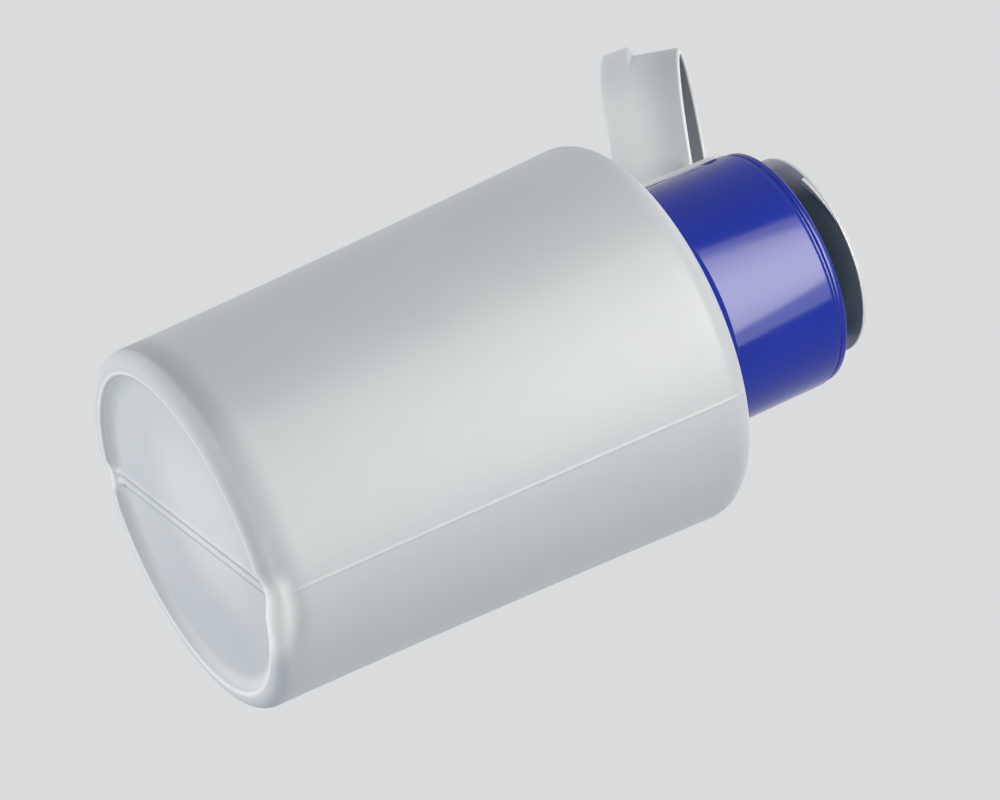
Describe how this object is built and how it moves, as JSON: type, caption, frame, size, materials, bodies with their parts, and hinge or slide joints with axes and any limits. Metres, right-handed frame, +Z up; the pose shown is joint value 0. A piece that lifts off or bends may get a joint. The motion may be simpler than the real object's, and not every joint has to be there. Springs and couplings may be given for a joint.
{
  "type": "press-top dispenser bottle",
  "caption": "Translucent bottle with a blue screw collar, a press dish on a spring pump that wets a cotton pad, and a flip lid standing open on a living hinge.",
  "frame": {"origin": "under the middle of the outline with the lid open, on the surface that the foot stands on; the bottle's axis is 18.4 mm from it, towards -X", "axes": "+Z up along the bottle's axis, +X towards the hinge and the open lid, +Y to the side"},
  "size_m": [0.0986, 0.0616, 0.1275],
  "materials": {
    "natural_bottle": "satin, milky translucent polyethylene",
    "natural_moulding": "smooth, milky translucent polypropylene",
    "smoky_clear": "smooth, clear with a smoky look and a pale cut edge",
    "blue_gloss": "high gloss",
    "pump_white": "moulded",
    "seal": "soft polyethylene",
    "steel": "bright stainless steel"
  },
  "bodies": {
    "bottle": {"bottle": "natural_bottle"},
    "pump": {"pump_housing": "pump_white", "housing_cap": "pump_white", "neck_gasket": "seal", "dip_tube": "natural_moulding", "ball_cage": "pump_white", "return_spring": "steel"},
    "closure": {"screw_closure": "natural_moulding", "collar_shell": "blue_gloss", "living_hinge": "natural_moulding"},
    "lid": {"flip_lid": "natural_moulding"},
    "plunger": {"press_dish": "smoky_clear", "outlet_cap": "pump_white", "stem": "pump_white", "stem_tip": "pump_white", "piston": "seal"},
    "inlet_valve": {"inlet_ball": "steel"},
    "outlet_valve": {"outlet_ball": "steel"}
  },
  "joints": [
    {"name": "cap_lift", "type": "slide", "parent": "bottle", "child": "pump", "axis": [0, 0, 1], "range_m": [0, 0.00635]},
    {"name": "cap_turn", "type": "hinge", "parent": "pump", "child": "closure", "pos_m": [-0.0184, 0, 0.092], "axis": [0, 0, 1], "range_deg": [0, 540]},
    {"name": "lid_hinge", "type": "hinge", "parent": "closure", "child": "lid", "pos_m": [0.0047, 0, 0.10595], "axis": [0, 1, 0], "range_deg": [-149, 30]},
    {"name": "dish_press", "type": "slide", "parent": "pump", "child": "plunger", "axis": [0, 0, 1], "range_m": [-0.004, 0], "stiffness_N_per_m": 400, "springref_m": 0.003, "deforming": ["return_spring"]},
    {"name": "inlet_ball_lift", "type": "slide", "parent": "pump", "child": "inlet_valve", "axis": [0, 0, 1], "range_m": [0, 0.0012]},
    {"name": "outlet_ball_lift", "type": "slide", "parent": "plunger", "child": "outlet_valve", "axis": [0, 0, 1], "range_m": [0, 0.0008]}
  ],
  "couplings": [
    {"joint": "cap_lift", "follows": "cap_turn", "m_per_rad": 0.0006737}
  ]
}
